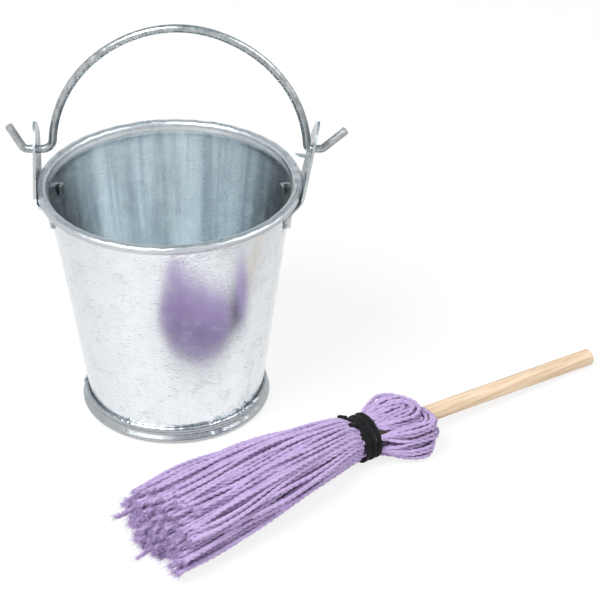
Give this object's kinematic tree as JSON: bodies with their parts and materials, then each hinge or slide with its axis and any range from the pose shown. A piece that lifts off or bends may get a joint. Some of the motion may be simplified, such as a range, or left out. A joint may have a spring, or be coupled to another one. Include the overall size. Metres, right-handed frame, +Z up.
{
  "type": "mop and bucket",
  "caption": "Tapered tin bucket with rolled rim, two leaf ears and a hinged wire bail, with a small yarn mop tied to a wooden stick lying beside it.",
  "frame": {"origin": "centre of the bucket's base, on the floor it stands on", "axes": "+Z up, +X along the bail's hinge axis towards the ear nearer the mop stick, +Y to the side away from the mop"},
  "size_m": [0.12, 0.0859, 0.0847],
  "materials": {
    "tin": "bright galvanised tin plate, lightly scratched",
    "wire": "drawn galvanised wire",
    "wood": "bare pale wood",
    "yarn": "soft lavender two-ply yarn",
    "cord": "black cotton cord"
  },
  "bodies": {
    "bucket": {"bucket_wall": "tin", "base_pan": "tin", "left_ear": "tin", "right_ear": "tin"},
    "bail": {"bail": "wire"},
    "mop": {"stick": "wood", "band_cord": "cord", "yarn_lock_01": "yarn", "yarn_lock_02": "yarn", "yarn_lock_03": "yarn", "yarn_lock_04": "yarn", "yarn_lock_05": "yarn", "yarn_lock_06": "yarn", "yarn_lock_07": "yarn", "yarn_lock_08": "yarn", "yarn_lock_09": "yarn", "yarn_lock_10": "yarn", "yarn_lock_11": "yarn", "yarn_lock_12": "yarn", "yarn_lock_13": "yarn", "yarn_lock_14": "yarn"}
  },
  "joints": [
    {"name": "bail_swing", "type": "hinge", "parent": "bucket", "child": "bail", "pos_m": [0, 0, 0.0578], "axis": [1, 0, 0], "range_deg": [-103, 103]},
    {"name": "mop_lift", "type": "slide", "parent": "bucket", "child": "mop", "axis": [0, 0, 1], "range_m": [0, 0.1]}
  ]
}
